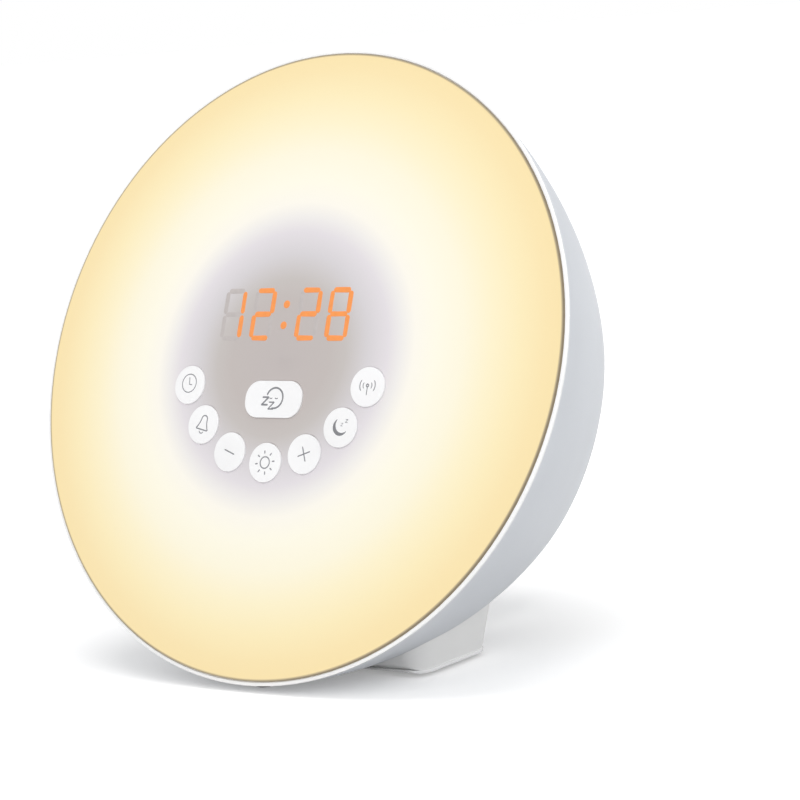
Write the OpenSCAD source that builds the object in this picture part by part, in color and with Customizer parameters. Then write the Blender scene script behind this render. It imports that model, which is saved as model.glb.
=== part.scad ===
// Sunrise alarm clock: a round lamp face on a domed housing with a carrying loop.
//
// Two frames are used. The part's own frame has +Z up, -Y to the front and its origin on the
// ground, in the middle of the footprint of the whole clock. Most pieces are drawn in the face
// frame (lamp_frame): its origin is the centre of the rim plane, x points right, y points up along
// the tilted face and z points out of the face, so a depth behind the rim is a negative z.

/* [Face] */
// Diameter of the rim, the widest part of the clock
rim_d = 169.6; // [150:0.2:200]
// Lean of the face, backwards from upright
face_tilt = 21.3; // [16:0.1:26]
// Gap between the lowest point of the rim and the ground
rim_gap = 1.9; // [1.5:0.1:4]

/* [Dome] */
// Depth of the dome behind the rim plane
dome_depth = 101.6; // [96:0.1:110]
// Draft of the dome's side wall where it leaves the rim
rim_draft = 12.5; // [10:0.5:16]
// Radius of the rounded back of the dome
nose_r = 46; // [40:0.5:50]
// Wall thickness of the moulded shells
wall = 2.4; // [2:0.1:3]

/* [Lens] */
// Width of the white ring seen around the lens
bezel_w = 1.2; // [1:0.1:3]
// Rise of the lens from its edge to its middle
lens_crown = 4.7; // [3:0.1:8]
// Thickness of the lens
lens_t = 2; // [1.5:0.1:2.5]
// Thickness of the lens at its seat on the bezel ring
lens_edge_t = 1; // [0.8:0.1:1.2]
// Height of the lens edge in front of the rim plane
lens_proud = 0.5; // [0.3:0.1:1.5]
// Height of the bezel ring's outer side
ring_side = 1.1; // [0.9:0.1:3]
// Shadow gap between the lens and the bezel ring
ring_gap = 0.25; // [0.15:0.05:0.4]
// Height of the bezel ring's face in front of the rim plane
ring_face_z = 0.1; // [0:0.05:0.3]

/* [Handle] */
// Thickness of the carrying loop
loop_t = 10.2; // [9:0.1:13]
// Width of the carrying loop
loop_w = 39; // [32:0.5:44]
// Depth of the back wall in its middle, behind the rim plane
back_n = 53; // [51:0.5:56]
// Radius of the back wall along the face's height
back_arc_r = 260; // [220:5:400]
// Radius of the back wall across its width
sweep_r = 305; // [250:5:500]
// Radius of the two front corners of the hand opening
hand_corner_r = 4; // [3:0.5:6]
// Height of the recess at each side of the loop
recess_h = 104.6; // [98:0.2:108]
// Corner radius of that recess
recess_r = 9; // [6:0.5:12]
// Thickness of the dark liner
liner_t = 2; // [1.6:0.1:2.4]
// Height by which the liner stands out of the loop's side walls
liner_proud = 1.2; // [0.8:0.1:1.6]

/* [Keys] */
// Diameter of a round key
key_d = 10.3; // [9:0.1:11]
// Radius of the arc on which the round keys sit
key_arc_r = 31.6; // [31:0.1:33]
// Height of that arc's centre above the middle of the face
key_arc_y = 3.9; // [3:0.1:5]
// Angle between two round keys
key_pitch = 23; // [22.5:0.5:24]
// Width of the snooze key
snooze_w = 18.6; // [15:0.1:24]
// Height of the snooze key
snooze_h = 9.7; // [8:0.1:10.5]
// Corner radius of the snooze key
snooze_r = 4.4; // [2:0.1:4.5]
// Place of the snooze key below the middle of the face
snooze_y = 11.1; // [10.5:0.1:11.5]
// Travel of a key
key_travel = 0.8; // [0.4:0.1:1]
// Gap around a key
key_gap = 0.25; // [0.15:0.05:0.4]
// Height of a key in front of the lens
key_proud = 0.3; // [0.1:0.1:0.6]

/* [Display] */
// Height of a digit
digit_h = 13.9; // [10:0.1:14]
// Width of a digit
digit_w = 7.2; // [5:0.1:7.5]
// Distance between the two digits of a pair
digit_pitch = 10; // [9:0.1:11]
// Distance between the digits on both sides of the colon
colon_pitch = 15.1; // [13:0.1:16]
// Width of a digit's stroke
stroke_w = 1.2; // [0.8:0.1:1.6]
// Height of the digits' middle above the middle of the face
digits_y = 11.6; // [11:0.1:12]

/* [Top button] */
// Length of the top button, across the dome
button_w = 28; // [20:1:32]
// Height of the top button, along the dome
button_h = 10.4; // [8:0.1:12]
// Height of the top button over the dome
button_proud = 1.3; // [1.2:0.1:2]
// Travel of the top button
button_travel = 1; // [0.5:0.1:1.1]
// Depth of the top button's middle behind the rim plane
button_n = 42; // [40:0.5:43]

/* [Foot] */
// Width of the foot
foot_w = 75; // [66:1:80]
// Front end of the foot, behind the face's centre
foot_front = -5; // [-8:0.5:-4]
// Back end of the wide part, behind the face's centre
foot_back = 26; // [24:0.5:30]
// Flare of the foot's walls, from upright
foot_flare = 14; // [8:1:18]
// Width of the heel
heel_w = 34; // [32:1:40]
// Back end of the heel at the bottom, behind the face's centre
heel_back = 56.3; // [52:0.5:57]
// Radius of the foot's upright corners
foot_corner_r = 5.5; // [4:0.5:8]
// Radius with which the foot's front end rises from the ground
foot_bow_r = 2.5; // [1.5:0.5:5]
// Thickness of the base plate
plate_t = 0.9; // [0.8:0.1:1.5]
// Overhang of the base plate around the foot
plate_lip = 0.1; // [0:0.1:0.8]
// Height of a rubber foot
pad_t = 1.1; // [0.8:0.1:2]

/* [Hidden] */
$fn = 96;
fit_gap = 0.2;      // clearance between two moulded pieces that slide together
slit = 0.05;        // clearance at the end of a travel
screw_r = 1.5;      // M3 self-tapping screw
head_r = 2.8;
head_t = 2;
pilot_r = 1.25;
sunk_head_r = 2.2;  // M2.5 countersunk screw of the liner
sunk_screw_r = 1.05;
sunk_under = 0.35;
board_t = 1.6;
far = 4 * rim_d;
arc_fn = 360;       // smoothness of the large arcs

// ---- The dome's profile: a flank arc that runs smoothly into the nose arc, as (radius, depth) ----
rim_r = rim_d / 2;
nose_n = dome_depth - nose_r;
flank_r = (rim_r * rim_r + nose_n * nose_n - nose_r * nose_r)
    / (2 * (rim_r * cos(rim_draft) - nose_r - nose_n * sin(rim_draft)));
flank_c = [rim_r - flank_r * cos(rim_draft), -flank_r * sin(rim_draft)];
join_a = atan2(nose_n - flank_c[1], -flank_c[0]);

// Radius and wall direction of the dome at a depth in front of the nose arc
function flank_a(n) = asin((n - flank_c[1]) / flank_r);
function dome_r(n) = flank_c[0] + flank_r * cos(flank_a(n));

// ---- Place of the face frame ----
base_z = pad_t;
face_z = rim_r * cos(face_tilt) + rim_gap;
lens_r = rim_r - bezel_w;
ring_flat_r = rim_r - 0.35;
front_y = -max(lens_r * sin(face_tilt) + lens_proud * cos(face_tilt),
    ring_flat_r * sin(face_tilt) + ring_face_z * cos(face_tilt), (rim_r - 0.08) * sin(face_tilt));
back_y = nose_n * cos(face_tilt) + nose_r;
face_y = -(front_y + back_y) / 2;

module lamp_frame() translate([0, face_y, face_z]) rotate([90 - face_tilt, 0, 0]) children();
module upright() rotate([face_tilt - 90, 0, 0]) translate([0, -face_y, -face_z]) children();

// Everything below a height, drawn in the part's own frame
module below(z) translate([-far, -far, z - 2 * far]) cube([2 * far, 2 * far, 2 * far]);

// A disc or ring around a point of the face, from one depth to another
module drum(r, n0, n1, p = [0, 0]) translate([p[0], p[1], -n1]) cylinder(r = r, h = n1 - n0);
// A slab of one width across the middle plane
module slab(w) cube([w, far, far], center = true);

function unit(v) = v / norm(v);
// The point left of the way from c1 to c2 where two circles meet
function meet(c1, r1, c2, r2) =
    let (d = norm(c2 - c1), a = (d * d + r1 * r1 - r2 * r2) / (2 * d), e = (c2 - c1) / d)
    c1 + a * e + sqrt(r1 * r1 - a * a) * [-e[1], e[0]];

// ---- Solids of revolution about the dome's axis, drawn as (radius, depth) ----
module turned() rotate([180, 0, 0]) rotate_extrude($fn = arc_fn / 2) children();

module half_profile(inset, front) {
    reach = far * [cos(join_a), sin(join_a)];
    nose_c = [0, nose_n];
    intersection() {
        translate(flank_c) circle(flank_r - inset, $fn = arc_fn);
        polygon([[0, front], [far, front], nose_c + reach, nose_c]);
    }
    intersection() {
        translate(nose_c) circle(nose_r - inset, $fn = arc_fn / 2);
        polygon([nose_c, nose_c + reach, [0, nose_n + far]]);
    }
}
module dome(inset, front = 0) turned() half_profile(inset, front);

// ---- The hand opening and the recesses beside the loop, drawn as (depth, height) and swept ----
// ---- about an upright axis far in front of the lamp, which bows the back wall sideways      ----
back_c = [back_n + back_arc_r, 0];
loop_flank_c = [flank_c[1], flank_c[0]];
hand_k = meet(loop_flank_c, flank_r - loop_t - hand_corner_r, back_c, back_arc_r - hand_corner_r);
recess_k_y = recess_h / 2 - recess_r;
recess_k = [back_c[0] - sqrt(pow(back_arc_r - recess_r, 2) - recess_k_y * recess_k_y), recess_k_y];
sweep_a = 2 * asin(rim_r / (sweep_r - 20));
panel_h = 2 * (hand_k[1] - 0.2);

module swept() {
    r0 = sweep_r - back_n;
    translate([0, 0, r0]) rotate([-90, 0, 0]) rotate([0, 0, 90 - sweep_a / 2])
        rotate_extrude(angle = sweep_a, $fn = 2 * arc_fn) translate([r0, 0]) children();
}

// The tip between two directions from a rounded corner's centre
module tip(c, d1, d2) polygon([c, c + 60 * d1, c + 60 * (d1 + d2), c + 60 * d2]);

module both_ends() {
    children();
    mirror([0, 1]) children();
}

// Cuts the tip off each of two mirrored corners and puts an arc there
module rounded(c, d1, d2, r) {
    difference() {
        children();
        both_ends() tip(c, d1, d2);
    }
    both_ends() intersection() {
        translate(c) circle(r);
        tip(c, d1, d2);
    }
}

// The dome's profile on both sides, set in by one amount
module loop_profile(inset) {
    nose_c = [nose_n, 0];
    reach = far * [sin(join_a), cos(join_a)];
    intersection() {
        translate(loop_flank_c) circle(flank_r - inset, $fn = arc_fn);
        translate([loop_flank_c[0], -loop_flank_c[1]]) circle(flank_r - inset, $fn = arc_fn);
        polygon([[0, far], nose_c + reach, nose_c, nose_c + [reach[0], -reach[1]], [0, -far]]);
    }
    intersection() {
        translate(nose_c) circle(nose_r - inset, $fn = arc_fn / 2);
        polygon([nose_c, nose_c + reach, nose_c + [reach[0], -reach[1]]]);
    }
}

// The see-through hand opening, grown outwards by e
module hand_outline(e)
    rounded(hand_k, unit(hand_k - loop_flank_c), unit(hand_k - back_c), hand_corner_r + e)
        intersection() {
            loop_profile(loop_t - e);
            translate(back_c) circle(back_arc_r + e, $fn = 2 * arc_fn);
        }

// The recess beside the loop, open to the back, grown outwards by e
module recess_outline(e)
    rounded(recess_k, [0, 1], unit(recess_k - back_c), recess_r + e)
        intersection() {
            translate(back_c) circle(back_arc_r + e, $fn = 2 * arc_fn);
            translate([0, -recess_h / 2 - e]) square([dome_depth + 10, recess_h + 2 * e]);
        }

// A layer of the back wall from one depth behind its surface to another, of one height
module back_layer(e0, e1, h) difference() {
    translate(back_c) circle(back_arc_r + e1, $fn = 2 * arc_fn);
    translate(back_c) circle(back_arc_r + e0, $fn = 2 * arc_fn);
    for (s = [0, 1]) mirror([0, s]) translate([0, h / 2]) square(far);
    translate([back_c[0], -far / 2]) square(far);
}

module recesses(e) difference() {
    swept() recess_outline(e);
    slab(loop_w - 2 * e);
}

// ---- Bezel ring and lens ----
seat_z = lens_proud - lens_edge_t;
skirt_r = lens_r - 4.7;
skirt_n = 5;
ring_n = 8;
ring_in_r = skirt_r + fit_gap;
lens_sphere_r = (lens_r * lens_r + lens_crown * lens_crown) / (2 * lens_crown);
lens_sphere_z = lens_proud + lens_crown - lens_sphere_r;
// Height of the lens's front surface over the rim plane, at a radius
function lens_z(r) = lens_sphere_z + sqrt(lens_sphere_r * lens_sphere_r - r * r);

module lens() color("ivory") lamp_frame() difference() {
    rotate_extrude() difference() {
        intersection() {
            translate([0, lens_sphere_z]) circle(lens_sphere_r, $fn = 4 * arc_fn);
            translate([0, -skirt_n]) square([lens_r, 2 * skirt_n + lens_crown]);
        }
        intersection() {
            translate([0, lens_sphere_z]) circle(lens_sphere_r - lens_t, $fn = 4 * arc_fn);
            translate([-1, -2 * skirt_n]) square([skirt_r - lens_t + 1, 4 * skirt_n]);
        }
        translate([skirt_r, seat_z - 2 * skirt_n]) square([far, 2 * skirt_n]);
    }
    for (i = [-3:3]) translate([key_p(i)[0], key_p(i)[1], -skirt_n])
        cylinder(r = key_d / 2 + key_gap, h = 4 * skirt_n);
    translate([0, -snooze_y, -skirt_n]) linear_extrude(4 * skirt_n)
        round_bar(snooze_w + 2 * key_gap, snooze_h + 2 * key_gap, snooze_r + key_gap);
}

module bezel_ring() color("white") lamp_frame() {
    side_r = dome_r(ring_side);
    end_r = dome_r(ring_n) - wall - fit_gap;
    rotate_extrude() polygon([
        [ring_in_r, -ring_n], [end_r, -ring_n],
        [side_r - wall - fit_gap, -ring_side], [side_r, -ring_side],
        [rim_r, -0.25], [rim_r - 0.08, 0], [ring_flat_r, ring_face_z],
        [lens_r + ring_gap + 0.1, ring_face_z], [lens_r + ring_gap, ring_face_z - 0.1],
        [lens_r + ring_gap, seat_z], [ring_in_r, seat_z]
    ]);
}

// ---- Rear housing ----
boss_ring_r = rim_r - 11.5;
boss_r = 3.2;
boss_top_n = 6.7;
boss_count = 6;
seat_r = 27;
seat_n = back_n - liner_t - wall - 2;
window_r = 19;
inlet_p = [38, -26];
inlet_r = 4;
liner_screw_p = [for (x = [-52, 52], y = [-20, 20]) [x, y]];
foot_screw_p = [[-26, 12], [26, 12], [-10, 34], [10, 34]];

// Depth of the back wall's surface at a point of the face
function back_wall_n(p) =
    let (n = back_c[0] - sqrt(back_arc_r * back_arc_r - p[1] * p[1]), r = n - back_n + sweep_r)
    sqrt(r * r - p[0] * p[0]) + back_n - sweep_r;

module button_frame() translate([0, dome_r(button_n), -button_n])
    rotate([-90 - flank_a(button_n), 0, 0]) children();

module rear_housing() color([0.86, 0.88, 0.91]) difference() {
    lamp_frame() difference() {
        union() {
            difference() {
                dome(0, ring_side);
                difference() {
                    dome(wall, -1);
                    swept() recess_outline(liner_t + wall);
                    intersection() {
                        upright() below(base_z + wall);
                        drum(rim_r, ring_n + fit_gap, dome_depth);
                    }
                }
                intersection() {
                    dome(wall);
                    slab(loop_w - 2 * wall);
                    swept() recess_outline(0);
                }
            }
            intersection() {
                dome(wall / 2);
                union() {
                    for (i = [0:boss_count - 1]) rotate(i * 360 / boss_count)
                        drum(boss_r, boss_top_n, 34, [boss_ring_r, 0]);
                    drum(seat_r, seat_n, back_wall_n([seat_r, 0]) - liner_t - 0.5);
                    drum(inlet_r + 2.6, seat_n - 1, back_wall_n(inlet_p) - liner_t - 0.8, inlet_p);
                    for (p = liner_screw_p) drum(boss_r, back_wall_n(p) - 12, back_wall_n(p) - liner_t - 0.8, p);
                    for (s = [-1, 1]) button_frame() translate([s * button_post_x, 0, -button_board_z])
                        cylinder(r = 2.4, h = button_board_z);
                    upright() for (p = foot_screw_p) translate([p[0], face_y + p[1], base_z])
                        cylinder(r = boss_r, h = 13);
                }
            }
        }
        recesses(0);
        intersection() {
            swept() hand_outline(liner_proud);
            slab(loop_w + 1);
        }
        intersection() {
            dome(wall);
            swept() back_layer(-3, liner_t, panel_h + 0.2);
        }
        for (i = [0:boss_count - 1]) rotate(i * 360 / boss_count)
            drum(pilot_r, boss_top_n - 1, boss_top_n + 12, [boss_ring_r, 0]);
        drum(window_r, seat_n - 1, back_n + 1);
        for (p = speaker_screw_p) drum(pilot_r, seat_n - 1, seat_n + 2.6, p);
        drum(inlet_r + 0.1, seat_n - 2, back_n, inlet_p);
        for (p = liner_screw_p) drum(sunk_screw_r, back_wall_n(p) - 10, back_n + 1, p);
        button_frame() translate([0, 0, -8]) linear_extrude(20)
            stadium(button_w + 2 * key_gap, button_h + 2 * key_gap);
        button_frame() for (s = [-1, 1]) translate([s * button_post_x, 0, -button_board_z - 1])
            cylinder(r = 0.9, h = 6);
    }
    below(base_z);
    for (p = foot_screw_p) translate([p[0], face_y + p[1], 0]) cylinder(r = pilot_r, h = 12);
}

// ---- Handle liner ----
grille_pitch = 4.6;
grille_r = 1.2;
grille_rings = 3;

module grille_holes() {
    drum(grille_r, back_n - 5, back_n + 3);
    for (k = [1:grille_rings], i = [0:6 * k - 1]) rotate(i * 60 / k)
        drum(grille_r, back_n - 5, back_n + 3, [k * grille_pitch, 0]);
}

// The lining of the loop alone, from one distance outside the opening to another, without the back
// wall of height h
module loop_lining(e0, e1, h) difference() {
    hand_outline(e1);
    hand_outline(e0);
    translate([0, -h / 2]) square([hand_k[0], h]);
}

module handle_liner() color([0.29, 0.29, 0.30]) lamp_frame() difference() {
    union() {
        intersection() {
            dome(wall + fit_gap);
            swept() back_layer(0, liner_t, panel_h);
        }
        intersection() {
            slab(loop_w - 2 * fit_gap);
            swept() loop_lining(0, liner_proud, panel_h);
        }
        intersection() {
            slab(loop_w - 2 * wall - 2 * fit_gap);
            swept() intersection() {
                loop_lining(liner_proud - 0.2, liner_proud + 1.4, panel_h + 3);
                recess_outline(-fit_gap);
            }
        }
    }
    grille_holes();
    drum(inlet_r + 0.1, back_n - 10, back_n + 5, inlet_p);
    drum(inlet_flange_r + fit_gap, inlet_seat_n, back_n + 5, inlet_p);
    for (p = liner_screw_p) translate([p[0], p[1], -back_wall_n(p)]) mirror([0, 0, 1])
        sunk_screw(10, fit_gap, 5);
}

// ---- Light shield, reflector, LEDs ----
hub_n = 10;
trough_n = 14;
reflector_t = 1.5;
flange_w = 0.6;
shield_r = norm(key_p(3)) + key_d / 2 + flange_w + 0.4;
shield_t = 1.5;
control_n = 7;
led_ring_r = 50;
led_count = 24;
led_board_t = 1.2;
led_h = 1.6;

module light_shield() color([0.93, 0.93, 0.92]) lamp_frame() rotate_extrude() {
    top = lens_z(shield_r + shield_t) - lens_t - fit_gap;
    ledge_z = -control_n - board_t;
    difference() {
        translate([shield_r - 3, -hub_n]) square([shield_t + 3, hub_n + top]);
        translate([0, ledge_z]) square([shield_r, 4 * hub_n]);
    }
}

module reflector() color("white") lamp_frame() difference() {
    t = reflector_t;
    flange_n = skirt_n + fit_gap;
    rotate([180, 0, 0]) {
        rotate_extrude() polygon([
            [0, hub_n], [shield_r + shield_t + 1, hub_n], [shield_r + shield_t + 4, trough_n],
            [60, trough_n], [boss_ring_r - 5, flange_n], [skirt_r, flange_n], [skirt_r, flange_n + t],
            [boss_ring_r - 4.4, flange_n + t], [60.6, trough_n + t],
            [shield_r + shield_t + 3.4, trough_n + t], [shield_r + shield_t + 0.4, hub_n + t], [0, hub_n + t]
        ]);
        for (p = board_screw_p) translate([p[0], -p[1], trough_n + t / 2])
            cylinder(r = boss_r, h = main_board_n - trough_n - t / 2);
    }
    for (i = [0:boss_count - 1]) rotate(i * 360 / boss_count)
        drum(screw_r + 0.2, 0, 2 * hub_n, [boss_ring_r, 0]);
    for (p = board_screw_p) drum(pilot_r, trough_n + t, main_board_n + 1, p);
    translate([-9, -24, -2 * hub_n]) cube([18, 4, 2 * hub_n]);
}

module led_board() color([0.94, 0.94, 0.90]) lamp_frame() difference() {
    drum(57, trough_n - led_board_t, trough_n);
    drum(shield_r + shield_t + 4.8, 0, 2 * trough_n);
}

module leds() color([1, 0.88, 0.55]) lamp_frame() for (i = [0:led_count - 1])
    rotate(i * 360 / led_count) translate([led_ring_r, 0, -trough_n + led_board_t + led_h / 2])
        difference() {
            cube([5, 5, led_h], center = true);
            translate([0, 0, led_h / 2]) cylinder(r = 1.9, h = 0.6, center = true);
        }

// ---- Control board, display, key switches ----
display_w = 50;
display_h = 17;
display_top_z = lens_z(display_w / 2) - lens_t - 0.5;
segment_t = 0.3;
switch_s = 6;
switch_h = 3.5;
plunger_h = 1.5;
flange_t = 1;
key_flange_z = lens_z(key_arc_r + key_d / 2 + flange_w) - lens_t - slit - flange_t;
stem_z = -control_n + switch_h + plunger_h + key_travel + slit;

function key_p(i) = [key_arc_r * sin(i * key_pitch), key_arc_y - key_arc_r * cos(i * key_pitch)];
snooze_p = [0, -snooze_y];
switch_p = concat([for (i = [-3:3]) key_p(i)], [snooze_p]);

module round_bar(w, h, r) {
    square([w, h - 2 * r], center = true);
    square([w - 2 * r, h], center = true);
    for (x = [-1, 1], y = [-1, 1]) translate([x * (w / 2 - r), y * (h / 2 - r)]) circle(r);
}

module stadium(w, h) {
    square([w - h, h], center = true);
    for (x = [-1, 1]) translate([x * (w - h) / 2, 0]) circle(h / 2);
}

module control_board() color([0.16, 0.42, 0.24]) lamp_frame()
    drum(shield_r - fit_gap, control_n, control_n + board_t);

module display_module() color([0.92, 0.92, 0.92]) lamp_frame() difference() {
    translate([-display_w / 2, digits_y - display_h / 2, -control_n])
        cube([display_w, display_h, display_top_z + control_n]);
    translate([0, 0, display_top_z - segment_t]) linear_extrude(1) all_segments();
}

// One stroke of a digit: a bar with pointed ends, lying along x
module stroke(l) polygon([
    [-l / 2, 0], [-l / 2 + stroke_w / 2, stroke_w / 2], [l / 2 - stroke_w / 2, stroke_w / 2],
    [l / 2, 0], [l / 2 - stroke_w / 2, -stroke_w / 2], [-l / 2 + stroke_w / 2, -stroke_w / 2]
]);

// The seven strokes of a digit about its own middle
module digit() {
    across = digit_w - stroke_w;
    up = (digit_h - stroke_w) / 2;
    gap = 0.3;
    for (y = [-up, 0, up]) translate([0, y]) stroke(across - gap);
    for (x = [-across / 2, across / 2], y = [-up / 2, up / 2])
        translate([x, y]) rotate(90) stroke(up - gap);
}

module all_segments() {
    for (s = [-1, 1], k = [0, 1]) translate([s * (colon_pitch / 2 + k * digit_pitch), digits_y]) digit();
    for (y = [-1, 1]) translate([0, digits_y + y * digit_h / 5]) circle(stroke_w * 0.75);
}

module display_segments() color([1, 0.59, 0.24]) lamp_frame()
    translate([0, 0, display_top_z - segment_t]) linear_extrude(segment_t) all_segments();

module key_switches() color([0.2, 0.2, 0.22]) lamp_frame()
    for (p = switch_p) translate([p[0], p[1], -control_n]) {
        translate([-switch_s / 2, -switch_s / 2, 0]) cube([switch_s, switch_s, switch_h]);
        cylinder(r = 1.65, h = switch_h + plunger_h);
    }

// ---- Keys: a cap that follows the lens, a flange behind the lens and a stem ----
module key_body(p) color("white") lamp_frame() {
    intersection() {
        translate([0, 0, lens_sphere_z]) sphere(lens_sphere_r + key_proud, $fn = 360);
        translate([p[0], p[1], key_flange_z]) children();
    }
}

module round_key(i) {
    p = key_p(i);
    key_body(p) {
        union() {
            cylinder(r = key_d / 2, h = 10);
            cylinder(r = key_d / 2 + flange_w, h = flange_t);
            translate([0, 0, stem_z - key_flange_z]) cylinder(r = 2, h = key_flange_z - stem_z + 0.5);
        }
    }
}
module key_clock() round_key(-3);
module key_bell() round_key(-2);
module key_minus() round_key(-1);
module key_light() round_key(0);
module key_plus() round_key(1);
module key_sleep() round_key(2);
module key_radio() round_key(3);

module key_snooze() key_body(snooze_p) union() {
    linear_extrude(10) round_bar(snooze_w, snooze_h, snooze_r);
    linear_extrude(flange_t)
        round_bar(snooze_w + 2 * flange_w, snooze_h + 2 * flange_w, snooze_r + flange_w);
    translate([0, 0, stem_z - key_flange_z]) cylinder(r = 2, h = key_flange_z - stem_z + 0.5);
}

// ---- Main board ----
main_board_n = 21;
main_board_w = 84;
main_board_h = 56;
board_screw_p = [for (x = [-36, 36], y = [-22, 22]) [x, y]];

module main_board() color([0.16, 0.42, 0.24]) lamp_frame() difference() {
    translate([-main_board_w / 2, -main_board_h / 2, -main_board_n - board_t])
        cube([main_board_w, main_board_h, board_t]);
    for (p = board_screw_p) drum(screw_r + 0.2, main_board_n - 1, main_board_n + board_t + 1, p);
}

// A box on the back of the main board, as centre, size and height
module on_board(p, s, h) translate([p[0] - s[0] / 2, p[1] - s[1] / 2, -main_board_n - board_t - h])
    cube([s[0], s[1], h]);

module board_parts() color([0.12, 0.12, 0.13]) lamp_frame() {
    on_board([-14, 14], [14, 10], 2);
    on_board([8, 16], [9, 9], 1.6);
    on_board([24, 6], [10, 8], 1.6);
    on_board([28, -20], [9, 6], 6);
    on_board([0, -22], [18, 4], 5);
    for (p = [[-32, 2], [-32, -9], [24, 20]]) drum(4, main_board_n + board_t, main_board_n + board_t + 9, p);
}

cell_p = [-8, -7];
cell_r = 10;
cell_t = 3.2;
module cell_holder() color([0.15, 0.15, 0.16]) lamp_frame() difference() {
    drum(cell_r + 1.6, main_board_n + board_t, main_board_n + board_t + cell_t + 0.8, cell_p);
    drum(cell_r + 0.1, main_board_n + board_t + 0.8, main_board_n + 20, cell_p);
}
module backup_cell() color([0.75, 0.76, 0.77]) lamp_frame()
    drum(cell_r, main_board_n + board_t + 0.8, main_board_n + board_t + 0.8 + cell_t, cell_p);

// Flat cable with a plug at each end, through the reflector's slot
module ribbon_cable() color([0.5, 0.5, 0.52]) lamp_frame() {
    ends = [control_n + board_t, main_board_n];
    translate([-7.5, -22.4, -ends[1]]) cube([15, 0.8, ends[1] - ends[0]]);
    for (z = [-ends[0] - 2, -ends[1]]) translate([-8.5, -23.6, z]) cube([17, 3.2, 2]);
}

// ---- Loudspeaker, on a gasket on the housing's seat ----
speaker_r = 25;
gasket_t = 0.8;
cone_rim_t = 0.4;
speaker_n = seat_n - gasket_t;
speaker_screw_p = [for (a = [45:90:315]) 23.4 * [cos(a), sin(a)]];

module speaker_basket() color([0.35, 0.35, 0.36]) lamp_frame() difference() {
    turned() polygon([
        [11, speaker_n - 12], [14, speaker_n - 12], [21, speaker_n - 1.5], [speaker_r, speaker_n - 1.5],
        [speaker_r, speaker_n], [20.8, speaker_n], [20.8, speaker_n - cone_rim_t],
        [20, speaker_n - cone_rim_t], [12.5, speaker_n - 10.5], [11, speaker_n - 10.5]
    ]);
    for (p = speaker_screw_p) drum(screw_r + 0.2, speaker_n - 3, speaker_n + 1, p);
    for (a = [0:60:300]) rotate(a) translate([17.5, 0, -speaker_n + 7]) cube([9, 6, 6], center = true);
}
module speaker_cone() color([0.2, 0.2, 0.21]) lamp_frame() turned() polygon([
    [0, speaker_n - 6.5], [6, speaker_n - 7.5], [17.4, speaker_n - 2], [18.6, speaker_n - 1.4],
    [19.4, speaker_n - cone_rim_t], [20.7, speaker_n - cone_rim_t], [20.7, speaker_n],
    [18.9, speaker_n], [18, speaker_n - 0.8], [17.2, speaker_n - 1.2], [6, speaker_n - 6.7],
    [0, speaker_n - 5.7]
]);
module speaker_magnet() color([0.55, 0.55, 0.57]) lamp_frame() {
    drum(14, speaker_n - 18, speaker_n - 12);
    drum(10.8, speaker_n - 12, speaker_n - 8.5);
}
module speaker_gasket() color([0.15, 0.15, 0.15]) lamp_frame() difference() {
    drum(speaker_r, speaker_n, seat_n);
    drum(window_r, 0, 2 * seat_n);
    for (p = speaker_screw_p) drum(screw_r + 0.2, 0, 2 * seat_n, p);
}
module speaker_clamp() color([0.3, 0.3, 0.31]) lamp_frame() difference() {
    drum(26, speaker_n - 2.7, speaker_n - 1.5);
    drum(21.8, 0, 2 * seat_n);
    for (p = speaker_screw_p) drum(screw_r + 0.2, 0, 2 * seat_n, p);
}

// ---- Top button ----
button_board_z = 11;
button_post_x = button_w / 2 + 4.5;

module top_button() color("white") lamp_frame() {
    intersection() {
        dome(-button_proud);
        button_frame() translate([0, 0, -6]) linear_extrude(20) stadium(button_w, button_h);
    }
    intersection() {
        dome(wall + slit);
        button_frame() translate([0, 0, -6]) linear_extrude(6)
            stadium(button_w + 2, button_h + 2);
    }
    button_frame() translate([0, 0, button_stem_z]) cylinder(r = 2, h = -button_stem_z - 5);
}
button_switch_h = 3.4;
button_stem_z = -button_board_z + button_switch_h + button_travel + slit;

module top_button_board() color([0.16, 0.42, 0.24]) lamp_frame() button_frame() difference() {
    union() {
        translate([-button_post_x - 3, -4.5, -button_board_z - 1.2]) cube([2 * button_post_x + 6, 9, 1.2]);
        translate([-3, -3, -button_board_z - 0.1]) cube([6, 6, 2.6]);
        translate([0, 0, -button_board_z]) cylinder(r = 1.7, h = button_switch_h);
    }
    for (s = [-1, 1]) translate([s * button_post_x, 0, -button_board_z - 3]) cylinder(r = 1.1, h = 6);
}

// ---- Power inlet: round socket for a barrel plug, in the back wall ----
inlet_flange_r = 5.5;
inlet_seat_n = back_wall_n(inlet_p) - 0.9;
inlet_bore_r = 2.75;
inlet_bore_l = 9;
module power_inlet() color([0.1, 0.1, 0.11]) lamp_frame() {
    mouth = inlet_seat_n + 1.1;
    difference() {
        union() {
            drum(inlet_flange_r, inlet_seat_n, mouth, inlet_p);
            drum(inlet_r, seat_n - 9, inlet_seat_n + 0.1, inlet_p);
        }
        drum(inlet_bore_r, mouth - inlet_bore_l, mouth + 1, inlet_p);
    }
    drum(1, mouth - inlet_bore_l - 0.5, mouth - 1, inlet_p);
}
module inlet_nut() color([0.75, 0.76, 0.77]) lamp_frame() difference() {
    translate([inlet_p[0], inlet_p[1], -seat_n + 1]) cylinder(r = 6.2, h = 2.4, $fn = 6);
    drum(inlet_r + 0.05, 0, 2 * seat_n, inlet_p);
}

// ---- Foot, base plate and rubber feet, drawn in the part's own frame ----
foot_top_z = 20;
foot_head_z = base_z + head_t + 0.1;
heel_lean = 18;

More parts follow.
